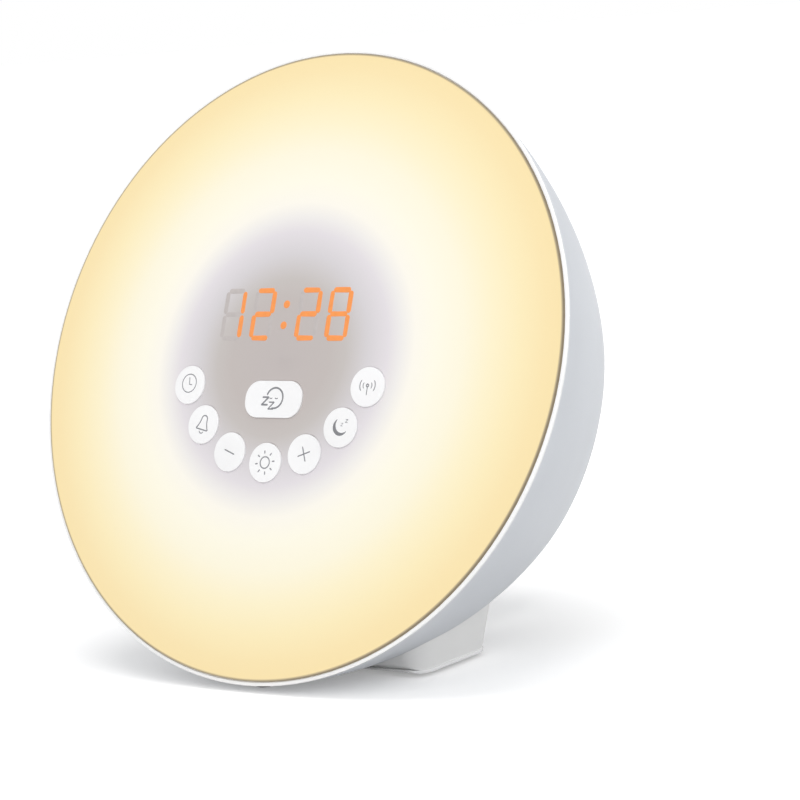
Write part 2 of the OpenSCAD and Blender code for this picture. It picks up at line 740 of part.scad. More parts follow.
// A trapezium standing on the x axis, w wide at half its foot and wider above
module flared(w) polygon([
    [-w, 0], [w, 0], [w + foot_top_z * tan(foot_flare), foot_top_z],
    [-w - foot_top_z * tan(foot_flare), foot_top_z]
]);

// The wide part of the foot, standing on z = 0 and grown by e
module wide_foot(e) {
    r = foot_corner_r + e;
    x = foot_w / 2 - foot_corner_r;
    y0 = foot_front + foot_corner_r;
    y1 = foot_back - foot_corner_r;
    bow_c = [foot_front - e + 0.74 * foot_bow_r, foot_bow_r];
    intersection() {
        union() {
            for (s = [-1, 1], y = [y0, y1]) translate([s * x, y, 0])
                cylinder(r1 = r, r2 = r + foot_top_z * tan(foot_flare), h = foot_top_z);
            translate([0, y1, 0]) rotate([90, 0, 0]) linear_extrude(y1 - y0) flared(x + r);
            translate([-x, (y0 + y1) / 2, 0]) rotate([90, 0, 90]) linear_extrude(2 * x)
                flared((y1 - y0) / 2 + r);
        }
        rotate([90, 0, 90]) translate([0, 0, -foot_w]) linear_extrude(2 * foot_w) {
            translate(bow_c) circle(foot_bow_r);
            polygon([
                [bow_c[0], 0], [heel_back, 0], [heel_back, foot_top_z], [bow_c[0] - 3 * foot_top_z, foot_top_z],
                [bow_c[0] - foot_bow_r, foot_bow_r], bow_c
            ]);
        }
    }
}

// The heel, a block with round back corners that leans back, standing on z = 0 and grown by e
module heel(e) intersection() {
    r = foot_corner_r + e;
    w = heel_w / 2 + e;
    l = heel_back - foot_back + foot_corner_r + 4;
    translate([0, heel_back, 0]) rotate([-heel_lean, 0, 0]) translate([0, 0, -foot_top_z])
        linear_extrude(3 * foot_top_z) {
            translate([-w, -l]) square([2 * w, l + e - r]);
            translate([r - w, -l]) square([2 * w - 2 * r, l + e]);
            for (s = [-1, 1]) translate([s * (w - r), e - r]) circle(r);
        }
    translate([-foot_w, foot_front, 0]) cube([2 * foot_w, far, foot_top_z]);
}

module foot_block(e, z0) translate([0, face_y, z0]) {
    wide_foot(e);
    heel(e);
}

// The hollow below the wide part of the foot, with flat walls and blunt corners, standing on z = 0
module foot_hollow() {
    x = foot_w / 2 - wall;
    y0 = foot_front + 0.74 * foot_bow_r + wall;
    y1 = foot_back - wall;
    middle = (y0 + y1) / 2;
    reach = x + (y1 - y0) / 2 - (2 - sqrt(2)) * (foot_corner_r - wall);
    intersection() {
        translate([0, y1 + 10, 0]) rotate([90, 0, 0]) linear_extrude(y1 - y0 + 20) flared(x);
        translate([-foot_w, middle, 0]) rotate([90, 0, 90]) linear_extrude(2 * foot_w)
            flared((y1 - y0) / 2);
        translate([0, middle, -1]) linear_extrude(foot_top_z + 2)
            polygon([[reach, 0], [0, reach], [-reach, 0], [0, -reach]]);
    }
}

module foot() color([0.84, 0.84, 0.84]) difference() {
    foot_block(0, base_z + plate_t);
    lamp_frame() dome(0);
    difference() {
        translate([0, face_y, base_z]) {
            foot_hollow();
            heel(-wall);
        }
        lamp_frame() dome(-wall);
        for (p = foot_screw_p) translate([p[0], face_y + p[1], 0]) cylinder(r = boss_r + 0.8, h = 30);
    }
    for (p = foot_screw_p) translate([p[0], face_y + p[1], 0]) {
        cylinder(r = screw_r + 0.2, h = 30);
        cylinder(r = head_r + fit_gap, h = foot_head_z);
    }
}

module base_plate() color([0.90, 0.90, 0.90]) difference() {
    foot_block(plate_lip, base_z);
    translate([-far / 2, -far / 2, base_z + plate_t]) cube(far);
    lamp_frame() dome(0);
    for (p = foot_screw_p) translate([p[0], face_y + p[1], 0]) cylinder(r = head_r + fit_gap, h = 30);
}

pad_r = 2.8;
pad_p = [[0, -22], [-28.5, 19], [28.5, 19], [-10, 50.5], [10, 50.5]];
module rubber_feet() color([0.25, 0.25, 0.26])
    for (p = pad_p) translate([p[0], face_y + p[1], 0]) cylinder(r = pad_r, h = pad_t);

// ---- Screws ----
module screw(l) {
    cylinder(r = head_r, h = head_t);
    translate([0, 0, -l]) cylinder(r = pilot_r, h = l + 0.1);
}

// A countersunk screw just under a surface, grown by e and run on above the surface by up
module sunk_screw(l, e, up) translate([0, 0, -sunk_under]) rotate_extrude() polygon([
    [0, -l], [sunk_screw_r + e, -l], [sunk_screw_r + e, sunk_screw_r - sunk_head_r],
    [sunk_head_r + e, 0], [sunk_head_r + e, up], [0, up]
]);

module reflector_screws() color("silver") lamp_frame() for (i = [0:boss_count - 1])
    rotate(i * 360 / boss_count) translate([boss_ring_r, 0, -skirt_n - fit_gap]) screw(10);
module board_screws() color("silver") lamp_frame() for (p = board_screw_p)
    translate([p[0], p[1], -main_board_n - board_t]) rotate([180, 0, 0]) screw(6);
module speaker_screws() color("silver") lamp_frame() for (p = speaker_screw_p)
    translate([p[0], p[1], -speaker_n + 2.7]) screw(5.5);
module liner_screws() color([0.2, 0.2, 0.2]) lamp_frame() for (p = liner_screw_p)
    translate([p[0], p[1], -back_wall_n(p)]) mirror([0, 0, 1]) sunk_screw(8, 0, 0);
module foot_screws() color("silver") for (p = foot_screw_p)
    translate([p[0], face_y + p[1], foot_head_z]) mirror([0, 0, 1]) screw(8);

lens();
bezel_ring();
rear_housing();
handle_liner();
light_shield();
reflector();
led_board();
leds();
control_board();
display_module();
display_segments();
key_switches();
key_clock();
key_bell();
key_minus();
key_light();
key_plus();
key_sleep();
key_radio();
key_snooze();
main_board();
board_parts();
cell_holder();
backup_cell();
speaker_basket();
speaker_cone();
speaker_magnet();
speaker_gasket();
speaker_clamp();
ribbon_cable();
top_button();
top_button_board();
power_inlet();
inlet_nut();
foot();
base_plate();
rubber_feet();
reflector_screws();
board_screws();
speaker_screws();
liner_screws();
foot_screws();
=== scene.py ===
"""Sunrise alarm clock: finishes, printed marks, lights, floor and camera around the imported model.

Lengths in this file are millimetres, turned to metres where they meet Blender. Points of the face
are written as (x, y): x to the right and y up the leaning face, from the middle of its rim plane.
"""
from math import cos, pi, radians, sin

import bpy
import numpy as np
from mathutils import Matrix, Vector

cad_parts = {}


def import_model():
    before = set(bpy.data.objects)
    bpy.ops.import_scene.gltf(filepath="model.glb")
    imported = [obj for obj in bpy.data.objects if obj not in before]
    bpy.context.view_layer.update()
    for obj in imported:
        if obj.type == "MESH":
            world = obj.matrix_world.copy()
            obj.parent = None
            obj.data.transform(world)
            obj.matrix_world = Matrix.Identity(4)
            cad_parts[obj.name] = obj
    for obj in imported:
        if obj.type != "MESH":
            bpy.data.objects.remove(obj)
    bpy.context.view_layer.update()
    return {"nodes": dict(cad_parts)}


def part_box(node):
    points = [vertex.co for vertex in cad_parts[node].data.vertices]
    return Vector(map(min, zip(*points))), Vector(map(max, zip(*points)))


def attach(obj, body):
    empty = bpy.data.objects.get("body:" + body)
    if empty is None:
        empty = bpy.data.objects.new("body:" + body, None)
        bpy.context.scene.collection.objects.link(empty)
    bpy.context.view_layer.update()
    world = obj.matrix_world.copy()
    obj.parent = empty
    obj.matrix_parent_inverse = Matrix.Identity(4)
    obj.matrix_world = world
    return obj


MM = 0.001
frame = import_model()
nodes = frame["nodes"]

# ---------------------------------------------------------------- place of the face
FACE_LEAN = radians(21.3)          # the face leans back from upright
LENS_EDGE_R = 83.6                 # edge of the lens
LENS_EDGE_Z = 0.5                  # its height over the rim plane at the edge
LENS_CROWN = 4.7                   # what it rises to the middle
LENS_BALL_R = (LENS_EDGE_R**2 + LENS_CROWN**2) / (2 * LENS_CROWN)
CONTROL_BOARD_N = 7.8              # depth of the control board's middle behind the rim plane
KEY_PROUD = 0.3                    # height of the key caps over the lens
KEY_ARC_R = 31.6                   # the round keys sit on an arc about a point above the middle
KEY_ARC_Y = 3.9
KEY_PITCH = radians(23)
SNOOZE_Y = -11.1

RIGHT = np.array([1.0, 0.0, 0.0])
UP = np.array([0.0, sin(FACE_LEAN), cos(FACE_LEAN)])
OUT = np.array([0.0, -cos(FACE_LEAN), sin(FACE_LEAN)])
low, high = (np.array(corner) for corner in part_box("control_board"))
FACE_CENTRE = (low + high) / 2 + OUT * CONTROL_BOARD_N * MM


def lens_height(x, y):
    """Height of the lens over the rim plane: a ball's cap through its edge and its crown."""
    drop = LENS_BALL_R - np.sqrt(LENS_BALL_R**2 - x**2 - y**2)
    return LENS_EDGE_Z + LENS_CROWN - drop


def on_face(x, y, z):
    """Points of the clock's frame in metres, as an (..., 3) array, of face coordinates in mm."""
    x, y, z = np.broadcast_arrays(x, y, z)
    return FACE_CENTRE + MM * (x[..., None] * RIGHT + y[..., None] * UP + z[..., None] * OUT)


def key_place(step):
    """Middle of the round key that is some steps right of the lowest one."""
    return KEY_ARC_R * sin(step * KEY_PITCH), KEY_ARC_Y - KEY_ARC_R * cos(step * KEY_PITCH)


# ---------------------------------------------------------------- node materials
def rgb(code):
    """Linear colour of an sRGB hex code such as FFCC88."""
    s = np.array([int(code[i:i + 2], 16) / 255 for i in (0, 2, 4)])
    return (*np.where(s <= 0.04045, s / 12.92, ((s + 0.055) / 1.055) ** 2.4), 1.0)


def add(tree, kind, links=(), **values):
    """Adds a node. values set its properties, or its inputs by name; links are (input, socket)."""
    node = tree.nodes.new("ShaderNode" + kind)
    for name, value in values.items():
        if name in node.bl_rna.properties:
            setattr(node, name, value)
        else:
            node.inputs[name.replace("_", " ")].default_value = value
    for name, socket in links:
        tree.links.new(socket, node.inputs[name])
    return node


def finish(name, **values):
    """A material with a Principled shader. Returns it with its tree, the shader and the socket of
    the Object coordinates."""
    material = bpy.data.materials.new(name)
    material.use_nodes = True
    tree = material.node_tree
    tree.nodes.clear()
    shader = add(tree, "BsdfPrincipled", **values)
    out = add(tree, "OutputMaterial", links=[("Surface", shader.outputs["BSDF"])])
    out.is_active_output = True
    place = add(tree, "TexCoord").outputs["Object"]
    return material, tree, shader, place


def ramp(tree, factor, stops, share=1.0):
    """Colour ramp through (position, hex colour) stops, each colour times a share."""
    node = add(tree, "ValToRGB", links=[("Fac", factor)])
    band = node.color_ramp
    while len(band.elements) < len(stops):
        band.elements.new(0.5)
    for element, (position, code) in zip(band.elements, stops):
        element.position = position
        element.color = (*(share * c for c in rgb(code)[:3]), 1.0)
    return node.outputs["Color"]


def feed(tree, shader, **sockets):
    """Links sockets to the shader's inputs, by name."""
    for name, socket in sockets.items():
        tree.links.new(socket, shader.inputs[name.replace("_", " ")])


def noise(tree, place, size_mm, **values):
    """Cloud noise whose lumps are about as large as the size."""
    return add(tree, "TexNoise", links=[("Vector", place)], Scale=1 / (size_mm * MM),
               **values).outputs["Fac"]


DRIFT_MM = 38          # size of the clouds in which a moulding's colour drifts
PIT_SPREAD = 0.06      # how far the roughness swings between pits and crests


def moulded(name, dark, light, grain_mm, depth_mm, roughness, coat=0.0):
    """Injection-moulded plastic: a spark-eroded skin's fine pits, and a faint drift of colour."""
    material, tree, shader, place = finish(name, IOR=1.5, Coat_Weight=coat, Coat_Roughness=0.12)
    pits = noise(tree, place, grain_mm, Detail=3.0, Roughness=0.6)
    drift = noise(tree, place, DRIFT_MM, Detail=2.0, Roughness=0.5)
    gloss = add(tree, "MapRange", links=[("Value", pits)], From_Min=0.3, From_Max=0.7,
                To_Min=roughness - PIT_SPREAD, To_Max=roughness + PIT_SPREAD)
    bump = add(tree, "Bump", links=[("Height", pits)], Strength=0.6, Distance=depth_mm * MM)
    feed(tree, shader, Base_Color=ramp(tree, drift, [(0.35, dark), (0.65, light)]),
         Roughness=gloss.outputs["Result"], Normal=bump.outputs["Normal"])
    return material


# Colour of the lit lens, at a radius in mm: the light shield's shadow, the bright ring over the
# LEDs, and the rim, where the light is yellowest because it has come furthest through the plastic.
# The last stops are the lens's edge, which lets no light out; they paint the bezel ring's shade
# there as a dark line, in the base colour too
GLOW = [
    (0, "C0B8B6"), (16, "C2BAB7"), (21, "C6C0BD"), (28, "D7D3D6"), (34, "E4DFE3"),
    (38, "F1EEEB"), (42, "FDF9EE"), (48, "FFFBE9"), (56, "FEF8E0"), (64, "FEF3CE"),
    (72, "FDEDBE"), (79, "FBE6B2"), (83.2, "FAE4AE"), (83.42, "8E8270"), (84, "857A6A"),
]
GLOW_R = GLOW[-1][0]
PAINTED_GLOW_SHARE = 0.42        # share of the glow's colour painted into the base colour, as painted glow and painted shade
LIT_GLOW = 0.55        # what the lamps behind the lens add
BALL_SLACK = 0.2       # a point further than this from the lens's ball is on another of its faces


def ball_normal(tree, place):
    """Normal of the lens's front, which is a ball: the unit vector from the ball's middle to the
    point. The lens's other faces keep their mesh's normal."""
    middle = FACE_CENTRE + MM * (LENS_EDGE_Z + LENS_CROWN - LENS_BALL_R) * OUT
    away = add(tree, "VectorMath", operation="SUBTRACT", links=[(0, place)])
    away.inputs[1].default_value = tuple(middle)
    reach = add(tree, "VectorMath", operation="LENGTH", links=[(0, away.outputs[0])])
    on_ball = add(tree, "Math", operation="COMPARE", links=[(0, reach.outputs["Value"])])
    on_ball.inputs[1].default_value = LENS_BALL_R * MM
    on_ball.inputs[2].default_value = BALL_SLACK * MM
    ball = add(tree, "VectorMath", operation="NORMALIZE", links=[(0, away.outputs[0])])
    mesh = add(tree, "NewGeometry").outputs["Normal"]
    change = add(tree, "VectorMath", operation="SUBTRACT", links=[(0, ball.outputs[0]), (1, mesh)])
    return add(tree, "VectorMath", operation="MULTIPLY_ADD",
               links=[(0, change.outputs[0]), (1, on_ball.outputs[0]), (2, mesh)]).outputs[0]


def lit_opal():
    """Opal acrylic, moulded and lit from behind: the glow follows the distance from the middle of
    the face, and so does its base colour, which carries the glow at a share as painted light and
    painted shade. A faint ripple shows where the melt froze."""
    material, tree, shader, place = finish(
        "opal_acrylic_lit", IOR=1.49, Roughness=0.45, Emission_Strength=LIT_GLOW)
    to_face = add(tree, "Mapping", vector_type="TEXTURE", links=[("Vector", place)],
                  Location=tuple(FACE_CENTRE), Rotation=(pi / 2 - FACE_LEAN, 0, 0))
    flat = add(tree, "VectorMath", operation="MULTIPLY", links=[(0, to_face.outputs[0])])
    flat.inputs[1].default_value = (1, 1, 0)
    length = add(tree, "VectorMath", operation="LENGTH", links=[(0, flat.outputs[0])])
    radius = add(tree, "MapRange", links=[("Value", length.outputs["Value"])],
                 From_Min=0.0, From_Max=GLOW_R * MM).outputs["Result"]
    stops = [(r / GLOW_R, code) for r, code in GLOW]
    ripple = noise(tree, place, 2.4, Detail=2.0)
    bump = add(tree, "Bump", links=[("Height", ripple), ("Normal", ball_normal(tree, place))],
               Strength=0.25, Distance=0.01 * MM)
    # the base colour is the glow ramp at a share: painted glow, and painted shade of the light
    # shield
    feed(tree, shader, Base_Color=ramp(tree, radius, stops, PAINTED_GLOW_SHARE),
         Emission_Color=ramp(tree, radius, stops), Normal=bump.outputs["Normal"])
    return material


def through_lens(name, code):
    """A stroke of the display seen through the lens: its own light, a little uneven because the
    film's thickness varies, and a base colour that is its light's colour at a share, painted glow."""
    # the base colour is the stroke's light colour at a share: painted glow
    material, tree, shader, place = finish(
        name, IOR=1.49, Roughness=0.45, Emission_Color=rgb(code),
        Base_Color=(*(PAINTED_GLOW_SHARE * c for c in rgb(code)[:3]), 1.0))
    level = add(tree, "MapRange", links=[("Value", noise(tree, place, 1.5, Detail=1.0))],
                From_Min=0.3, From_Max=0.7, To_Min=LIT_GLOW * 0.94, To_Max=LIT_GLOW * 1.06)
    feed(tree, shader, Emission_Strength=level.outputs["Result"])
    return material


def circuit_board():
    """Glass-epoxy board: green solder mask over copper tracks that show as a lighter web."""
    material, tree, shader, place = finish("solder_mask_green", Roughness=0.32, IOR=1.5)
    web = add(tree, "TexVoronoi", feature="DISTANCE_TO_EDGE", links=[("Vector", place)],
              Scale=1 / (4 * MM)).outputs["Distance"]
    bump = add(tree, "Bump", links=[("Height", web)], Strength=0.2, Distance=0.02 * MM,
               invert=True)
    tracks = [(0.0, "2C8A4E"), (0.07, "2A8049"), (0.09, "14522B"), (1.0, "124A27")]
    feed(tree, shader, Base_Color=ramp(tree, web, tracks), Normal=bump.outputs["Normal"])
    return material


def drawn_metal(name, dark, light, roughness, streak_mm):
    """Plated or drawn steel: fine streaks along one way, brighter where the tool ran."""
    material, tree, shader, place = finish(name, Metallic=1.0)
    stretched = add(tree, "Mapping", links=[("Vector", place)], Scale=(1.0, 12.0, 1.0))
    streaks = noise(tree, stretched.outputs[0], streak_mm, Detail=3.0)
    gloss = add(tree, "MapRange", links=[("Value", streaks)], To_Min=roughness - 0.08,
                To_Max=roughness + 0.1)
    bump = add(tree, "Bump", links=[("Height", streaks)], Strength=0.3, Distance=0.01 * MM)
    feed(tree, shader, Base_Color=ramp(tree, streaks, [(0.3, dark), (0.7, light)]),
         Roughness=gloss.outputs["Result"], Normal=bump.outputs["Normal"])
    return material


FINISHES = {
    "lens": lit_opal(),
    "white": moulded("polished_abs_white", "FAFAFB", "FFFFFF", 0.6, 0.003, 0.22, coat=0.25),
    "cap": moulded("satin_abs_key_cap", "F5F5F6", "FBFBFC", 0.4, 0.004, 0.34),
    "shell": moulded("satin_abs_pale_blue_grey", "CDD1D7", "D2D6DC", 0.35, 0.012, 0.42),
    "foot": moulded("satin_abs_pale_grey", "ECECEC", "F1F1F0", 0.35, 0.012, 0.40),
    "liner": moulded("spark_eroded_abs_charcoal", "3A3A3C", "434345", 0.45, 0.03, 0.55),
    "inside": moulded("matt_abs_white", "EBEBE8", "F0F0ED", 0.5, 0.01, 0.5),
    "rubber": moulded("moulded_rubber", "262628", "303032", 0.3, 0.03, 0.8),
    "black": moulded("moulded_epoxy_black", "17171A", "202023", 0.3, 0.01, 0.45),
    "enamel": moulded("stove_enamel_black", "1B1B1D", "232326", 0.8, 0.004, 0.3, coat=0.3),
    "paper": moulded("pressed_cone_paper", "1E1E20", "2B2B2D", 0.25, 0.05, 0.85),
    "ferrite": moulded("sintered_ferrite", "3A3A3D", "48484B", 0.3, 0.02, 0.6),
    "phosphor": moulded("led_phosphor_resin", "F0D27A", "F8DE8E", 0.4, 0.004, 0.25),
    "ribbon": moulded("pvc_ribbon_grey", "8A8B90", "A4A5AA", 0.7, 0.02, 0.5),
    "board": circuit_board(),
    "steel": drawn_metal("zinc_plated_steel", "9A9CA0", "C3C5C9", 0.32, 0.5),
    "ink": moulded("pad_printed_ink", "7B7C80", "8A8B90", 0.5, 0.002, 0.6),
    "glow": through_lens("display_orange_light", "FA9A50"),
    "ghost": through_lens("display_unlit_stroke", "C0B9B7"),
}

NODE_FINISH = {
    "lens": "lens", "bezel_ring": "white", "rear_housing": "shell", "handle_liner": "liner",
    "light_shield": "inside", "reflector": "inside", "led_board": "inside", "leds": "phosphor",
    "control_board": "board", "display_module": "inside", "display_segments": "glow",
    "key_switches": "black", "main_board": "board", "board_parts": "black", "cell_holder": "black",
    "backup_cell": "steel", "speaker_basket": "enamel", "speaker_cone": "paper",
    "speaker_magnet": "ferrite", "speaker_gasket": "rubber", "speaker_clamp": "enamel",
    "ribbon_cable": "ribbon", "top_button": "cap", "top_button_board": "board",
    "power_inlet": "black", "inlet_nut": "steel", "foot": "foot", "base_plate": "white",
    "rubber_feet": "rubber",
}

for name, node in nodes.items():
    key = NODE_FINISH.get(name, "steel" if name.endswith("_screws") else "cap")
    node.data.materials.clear()
    node.data.materials.append(FINISHES[key])


# ---------------------------------------------------------------- prints on the lens and the keys
def mesh_piece(name, points, faces, material, smooth=True):
    """A mesh object in the scene, of points in metres and faces as lists of their numbers."""
    mesh = bpy.data.meshes.new(name)
    mesh.from_pydata(np.asarray(points).reshape(-1, 3).tolist(), [], faces)
    mesh.validate()
    mesh.materials.append(material)
    if smooth:
        mesh.polygons.foreach_set("use_smooth", np.ones(len(mesh.polygons), bool))
    piece = bpy.data.objects.new(name, mesh)
    bpy.context.collection.objects.link(piece)
    return piece


FILM_T = 0.03      # a print's rise over the surface that carries it
FILM_SUNK = 0.08   # and its reach below it, so that no gap shows
RING_POINTS = 8    # points round a stroke's cross-section


def film_stroke(path, width, lift, closed):
    """A flat tube along a path of face points: its cross-section is an ellipse as wide as the
    stroke, laid on the lens's ball, and its ends close to a point over a round half-width. The
    width is one number or one for each point of the path. Returns points, faces."""
    path = np.asarray(path, float)
    ahead = np.roll(path, -1, 0) - path if closed else np.gradient(path, axis=0)
    if closed:
        ahead = ahead + path - np.roll(path, 1, 0)
    ahead /= np.linalg.norm(ahead, axis=1)[:, None]
    side = np.stack([-ahead[:, 1], ahead[:, 0]], 1)
    half = np.full(len(path), np.asarray(width) / 2)
    if not closed and np.ndim(width) == 0:
        run = np.r_[0, np.cumsum(np.linalg.norm(np.diff(path, axis=0), axis=1))]
        inset = np.minimum(run, run[-1] - run) / half
        half *= np.sqrt(np.clip(1 - (1 - np.minimum(inset, 1)) ** 2, 0.02, 1))
    turn = np.linspace(0, 2 * pi, RING_POINTS, endpoint=False)
    flat = path[:, None] + side[:, None] * (half[:, None, None] * np.cos(turn)[None, :, None])
    mid, rise = (FILM_T - FILM_SUNK) / 2, (FILM_T + FILM_SUNK) / 2
    z = lens_height(flat[..., 0], flat[..., 1]) + lift + mid + rise * np.sin(turn)[None, :]
    points = on_face(flat[..., 0], flat[..., 1], z)
    n, m = len(path), RING_POINTS
    i, j = np.meshgrid(np.arange(n if closed else n - 1) * m, np.arange(m), indexing="ij")
    near, far = j, (j + 1) % m
    quads = np.stack([i + near, i + far, (i + m) % (n * m) + far, (i + m) % (n * m) + near], -1)
    faces = quads.reshape(-1, 4).tolist()
    if not closed:
        faces += [list(range(m))[::-1], list(range((n - 1) * m, n * m))]
    return points.reshape(-1, 3), faces


def film(name, strokes, body, lift, material):
    """One printed mark of several strokes, each (path, width, closed)."""
    points, faces, base = [], [], 0
    for path, width, closed in strokes:
        p, f = film_stroke(path, width, lift, closed)
        points.append(p)
        faces += [[i + base for i in face] for face in f]
        base += len(p)
    piece = mesh_piece(name, np.concatenate(points), faces, material)
    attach(piece, body)
    return piece


def line(*corners, step=0.25):
    """Evenly spaced points along straight runs between corners."""
    corners = np.asarray(corners, float)
    runs = []
    for a, b in zip(corners[:-1], corners[1:]):
        count = max(int(np.hypot(*(b - a)) / step), 2)
        runs.append(a + (b - a) * np.linspace(0, 1, count, endpoint=False)[:, None])
    return np.concatenate([*runs, corners[-1:]])


def arc(cx, cy, r, a0, a1, step=0.3):
    """Points along a circle's arc, angles in degrees."""
    count = max(int(abs(radians(a1 - a0)) * r / step), 6)
    a = np.radians(np.linspace(a0, a1, count))
    return np.stack([cx + r * np.cos(a), cy + r * np.sin(a)], 1)


def circle(cx, cy, r):
    """Points round a whole circle, for a closed stroke."""
    a = np.linspace(0, 2 * pi, 40, endpoint=False)
    return np.stack([cx + r * np.cos(a), cy + r * np.sin(a)], 1)


def turned(strokes, degrees):
    """Strokes turned about the middle of their key."""
    c, s = cos(radians(degrees)), sin(radians(degrees))
    return [(path @ np.array([[c, s], [-s, c]]), width, closed) for path, width, closed in strokes]


def placed(strokes, x, y):
    """Strokes moved from the middle of their key to a place on the face."""
    return [(path + np.array([x, y]), width, closed) for path, width, closed in strokes]


THIN, MEDIUM, BOLD = 0.34, 0.42, 0.58     # widths of the printed strokes


def clock_mark():
    """A dial with its two hands."""
    hands = line((-0.3, 2.1), (-0.1, 0.1), (0.9, 0.0))
    return [(circle(-0.2, 0.4, 2.45), THIN, True), (hands, THIN, False)]


def bell_mark():
    """A bell's outline: a half-circle crown, sides that widen with the 1.7th power of the way down,
    a straight lip and the clapper's arc below it."""
    t = np.linspace(0, 1, 24)
    side = np.stack([1.0 + 1.1 * t**1.7, 1.4 - 2.8 * t], 1)
    crown = arc(0, 1.4, 1.0, 180, 0)
    left = side[::-1] * np.array([-1, 1])
    outline = np.concatenate([left[:-1], crown[:-1], side])
    return [(outline, MEDIUM, False), (line((-2.1, -1.4), (2.1, -1.4)), MEDIUM, False),
            (arc(0, -1.6, 0.8, 190, 350), THIN, False)]


def minus_mark():
    return [(line((-1.9, 0), (1.9, 0)), MEDIUM, False)]


def plus_mark():
    return [(line((-2.1, 0), (2.1, 0)), MEDIUM, False), (line((0, -2.1), (0, 2.1)), MEDIUM, False)]


def sun_mark():
    """A disc's outline and eight rays, turned a little so that none stands upright."""
    rays = [line((2.3 * cos(a), 2.3 * sin(a)), (3.2 * cos(a), 3.2 * sin(a)), step=0.1)
            for a in np.radians(np.arange(8) * 45 + 8)]
    return [(circle(0, 0, 1.5), MEDIUM, True)] + [(ray, 0.44, False) for ray in rays]


def z_sign(x, y, w, h):
    """The letter Z, as a sign for sleep, in a box whose lower left corner is at x, y."""
    return line((x, y + h), (x + w, y + h), (x, y), (x + w, y), step=0.12)


def moon_mark():
    """A crescent and two Z signs. The crescent is one stroke along the middle between an outer
    and an inner circle's arc, as wide at each point as the two arcs stand apart."""
    outer = arc(-0.05, 0.1, 2.3, 119, 332, step=0.1)
    a = np.linspace(radians(145), radians(308), len(outer))
    inner = np.stack([0.7 + 2.12 * np.cos(a), 0.8 + 2.12 * np.sin(a)], 1)
    width = np.maximum(np.linalg.norm(outer - inner, axis=1), 0.06)
    return [((outer + inner) / 2, width, False), (z_sign(0.1, 0.4, 0.7, 0.7), 0.16, False),
            (z_sign(1.4, 1.3, 0.8, 0.8), 0.18, False)]


def radio_mark():
    """A mast between two pairs of waves."""
    waves = [(arc(0, 0.35, r, a - 38, a + 38), THIN, False)
             for r in (1.35, 2.35) for a in (0, 180)]
    return [(circle(0, 0.35, 0.34), MEDIUM, True),
            (line((0, 0.1), (0, -2.2)), THIN, False)] + waves


def snooze_mark():
    """A sleeping face: an open ring with two closed eyes, and two Z signs at its opening."""
    eyes = [(arc(x, 0.75, 0.6, 215, 325, step=0.1), 0.3, False) for x in (-0.75, 1.05)]
    return [(arc(0.45, 0.3, 2.7, 165, -105), BOLD, False),
            (z_sign(-3.6, -1.5, 2.1, 2.0), BOLD, False),
            (z_sign(-1.3, -2.6, 1.8, 1.8), 0.46, False)] + eyes


def key_print(key, strokes, x, y):
    """Prints a mark on a key's cap, whose middle is at x, y."""
    film(f"{key}_mark", placed(strokes, x, y), f"{key}_key", KEY_PROUD, FINISHES["ink"])


for step, (key, mark, turn) in enumerate([
        ("clock", clock_mark(), 0), ("bell", bell_mark(), -12), ("minus", minus_mark(), -20),
        ("light", sun_mark(), 0), ("plus", plus_mark(), 20), ("sleep", moon_mark(), 0),
        ("radio", radio_mark(), 0)]):
    key_print(key, turned(mark, turn), *key_place(step - 3))
key_print("snooze", snooze_mark(), 0, SNOOZE_Y)

# The display as it shows on the lens: seven strokes a digit, lit where the time needs them
TIME = "1228"
DIGIT_X = (-18.0, -7.9, 7.2, 17.0)
DIGIT_Y = 11.6
STROKE_W = 1.6
STROKE_GAP = 0.22                   # what each stroke is pulled in at either end
ACROSS, TALL = 2.95, 6.4            # half the distances between the outer strokes' middle lines
COLON_X, COLON_Y = -0.4, (14.2, 8.6)
COLON_R, COLON_W = 0.55, 1.1        # a dot is a small ring whose stroke fills it
SEGMENTS = {
    "top": ((-1, 1), (1, 1)), "middle": ((-1, 0), (1, 0)), "bottom": ((-1, -1), (1, -1)),
    "upper_left": ((-1, 0), (-1, 1)), "upper_right": ((1, 0), (1, 1)),
    "lower_left": ((-1, -1), (-1, 0)), "lower_right": ((1, -1), (1, 0)),
}
LIT = {"1": ("upper_right", "lower_right"),
       "2": ("top", "upper_right", "middle", "lower_left", "bottom"),
       "8": tuple(SEGMENTS)}


def segment(x, name):
    """One stroke of the digit at x, pulled in at both ends to leave a gap to its neighbours."""
    a, b = (np.array([x + ACROSS * p[0], DIGIT_Y + TALL * p[1]]) for p in SEGMENTS[name])
    inset = (b - a) / np.hypot(*(b - a)) * STROKE_GAP
    return line(a + inset, b - inset, step=0.12), STROKE_W, False


lit, unlit = [], []
for x, digit in zip(DIGIT_X, TIME):
    lit += [segment(x, name) for name in LIT[digit]]
    unlit += [segment(x, name) for name in SEGMENTS if name not in LIT[digit]]
lit += [(arc(COLON_X, y, COLON_R, 0, 360, step=0.15)[:-1], COLON_W, True) for y in COLON_Y]
film("lit_digits", lit, "clock_body", 0.0, FINISHES["glow"])
film("unlit_digits", unlit, "clock_body", -0.01, FINISHES["ghost"])

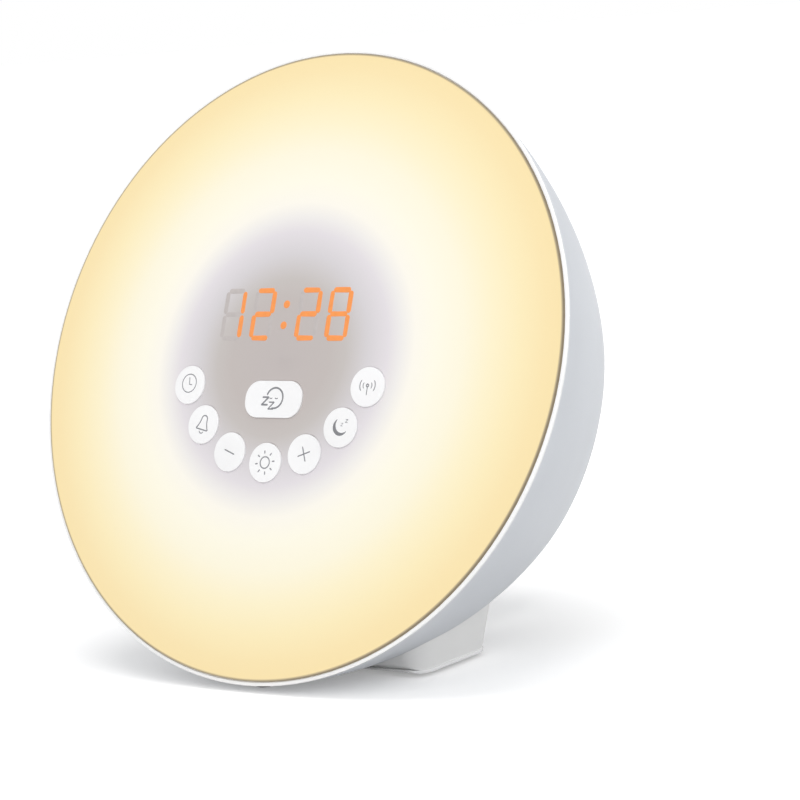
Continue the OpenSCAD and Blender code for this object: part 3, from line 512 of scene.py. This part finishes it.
# ---------------------------------------------------------------- floor, lights, camera
CAMERA_AIM = FACE_CENTRE + np.array([22.39, 15.47, -12.14]) * MM
CAMERA_WAY = (36.88, 7.52)     # azimuth and elevation in degrees
CAMERA_ROLL = -4.73            # degrees
CAMERA_DISTANCE = 742.9 * MM
LENS_LENGTH = 128.33           # focal length on a sensor 36 mm wide
SENSOR_WIDTH = 36
FLOOR_HALF = 30                # half the floor's width, in metres
FLOOR_FILL = 0.25              # light the floor gives by itself, which thins the shadows on it
FLOOR_BOUNCE = "D0D0D0"        # its colour as the clock's underside sees it
WORLD_LEVEL = 0.53             # light of the surroundings on the clock
# Each lamp's azimuth and elevation, the angle it spreads over, and its level
LAMPS = {
    "top_light": ((0, 90), 40, 0.32),
    "front_light": ((30, 30), 60, 0.3),
    "side_light": ((100, 15), 90, 0.28),
}


def seen_directly(tree):
    """1 for a ray from the camera and for one that a gloss or glass sends on, else 0."""
    path = add(tree, "LightPath").outputs
    gloss = add(tree, "Math", operation="MAXIMUM",
                links=[(0, path["Is Glossy Ray"]), (1, path["Is Transmission Ray"])])
    return add(tree, "Math", operation="MAXIMUM",
               links=[(0, path["Is Camera Ray"]), (1, gloss.outputs[0])]).outputs[0]


def floor():
    """White paper that keeps the clock's shadow. Its bounce on the clock is a grey table's."""
    material, tree, shader, _ = finish(
        "white_paper", Base_Color=rgb("F6F6F6"), Roughness=0.9, Specular_IOR_Level=0.0,
        Emission_Color=rgb("FFFFFF"), Emission_Strength=FLOOR_FILL)
    bounce = add(tree, "BsdfDiffuse", Color=rgb(FLOOR_BOUNCE))
    mix = add(tree, "MixShader", links=[(0, seen_directly(tree)), (1, bounce.outputs[0]),
                                        (2, shader.outputs[0])])
    sink = next(node for node in tree.nodes if node.bl_idname == "ShaderNodeOutputMaterial")
    tree.links.new(mix.outputs[0], sink.inputs["Surface"])
    corners = ((-1, -1), (1, -1), (1, 1), (-1, 1))
    points = [(x * FLOOR_HALF, y * FLOOR_HALF, 0) for x, y in corners]
    mesh_piece("floor", points, [(0, 1, 2, 3)], material, smooth=False)


def world():
    """Even surroundings: a plain level on the clock, full white to the camera and in gloss."""
    surround = bpy.data.worlds.new("studio")
    surround.use_nodes = True
    tree = surround.node_tree
    tree.nodes.clear()
    level = add(tree, "MapRange", links=[("Value", seen_directly(tree))], To_Min=WORLD_LEVEL,
                To_Max=1.0)
    sky = add(tree, "Background", Color=rgb("FFFFFF"),
              links=[("Strength", level.outputs["Result"])])
    add(tree, "OutputWorld", links=[("Surface", sky.outputs[0])])
    bpy.context.scene.world = surround


def towards(way):
    """Unit vector from the clock towards an azimuth and elevation, in degrees: azimuth 0 is in
    front of it and 90 to its right."""
    azimuth, elevation = (radians(a) for a in way)
    return Vector((sin(azimuth) * cos(elevation), -cos(azimuth) * cos(elevation), sin(elevation)))


def lamp(name, way, spread, level):
    """A far, wide, soft light from an azimuth and elevation, spread over an angle. Its level is
    what a white surface that faces it shows."""
    back = towards(way)
    data = bpy.data.lights.new(name, "SUN")
    data.energy, data.angle = pi * level, radians(spread)
    light = bpy.data.objects.new(name, data)
    light.location = Vector(FACE_CENTRE) + back
    light.rotation_euler = back.to_track_quat("Z", "Y").to_euler()
    bpy.context.collection.objects.link(light)


def camera():
    """The camera looks back along its way to the point it aims at, rolled about that line."""
    azimuth, roll = radians(CAMERA_WAY[0]), radians(CAMERA_ROLL)
    back = towards(CAMERA_WAY)
    side = Vector((cos(azimuth), sin(azimuth), 0))
    upward = back.cross(side)
    across = side * cos(roll) + upward * sin(roll)
    upright = upward * cos(roll) - side * sin(roll)
    data = bpy.data.cameras.new("camera")
    data.lens, data.sensor_width = LENS_LENGTH, SENSOR_WIDTH
    data.clip_start, data.clip_end = 0.05, 50
    eye = bpy.data.objects.new("camera", data)
    turn = Matrix((across, upright, back)).transposed().to_4x4()
    eye.matrix_world = Matrix.Translation(Vector(CAMERA_AIM) + back * CAMERA_DISTANCE) @ turn
    bpy.context.collection.objects.link(eye)
    bpy.context.scene.camera = eye


floor()
world()
for name, (way, spread, level) in LAMPS.items():
    lamp(name, way, spread, level)
camera()
bpy.context.scene.view_settings.view_transform = "Standard"

bpy.context.view_layer.update()
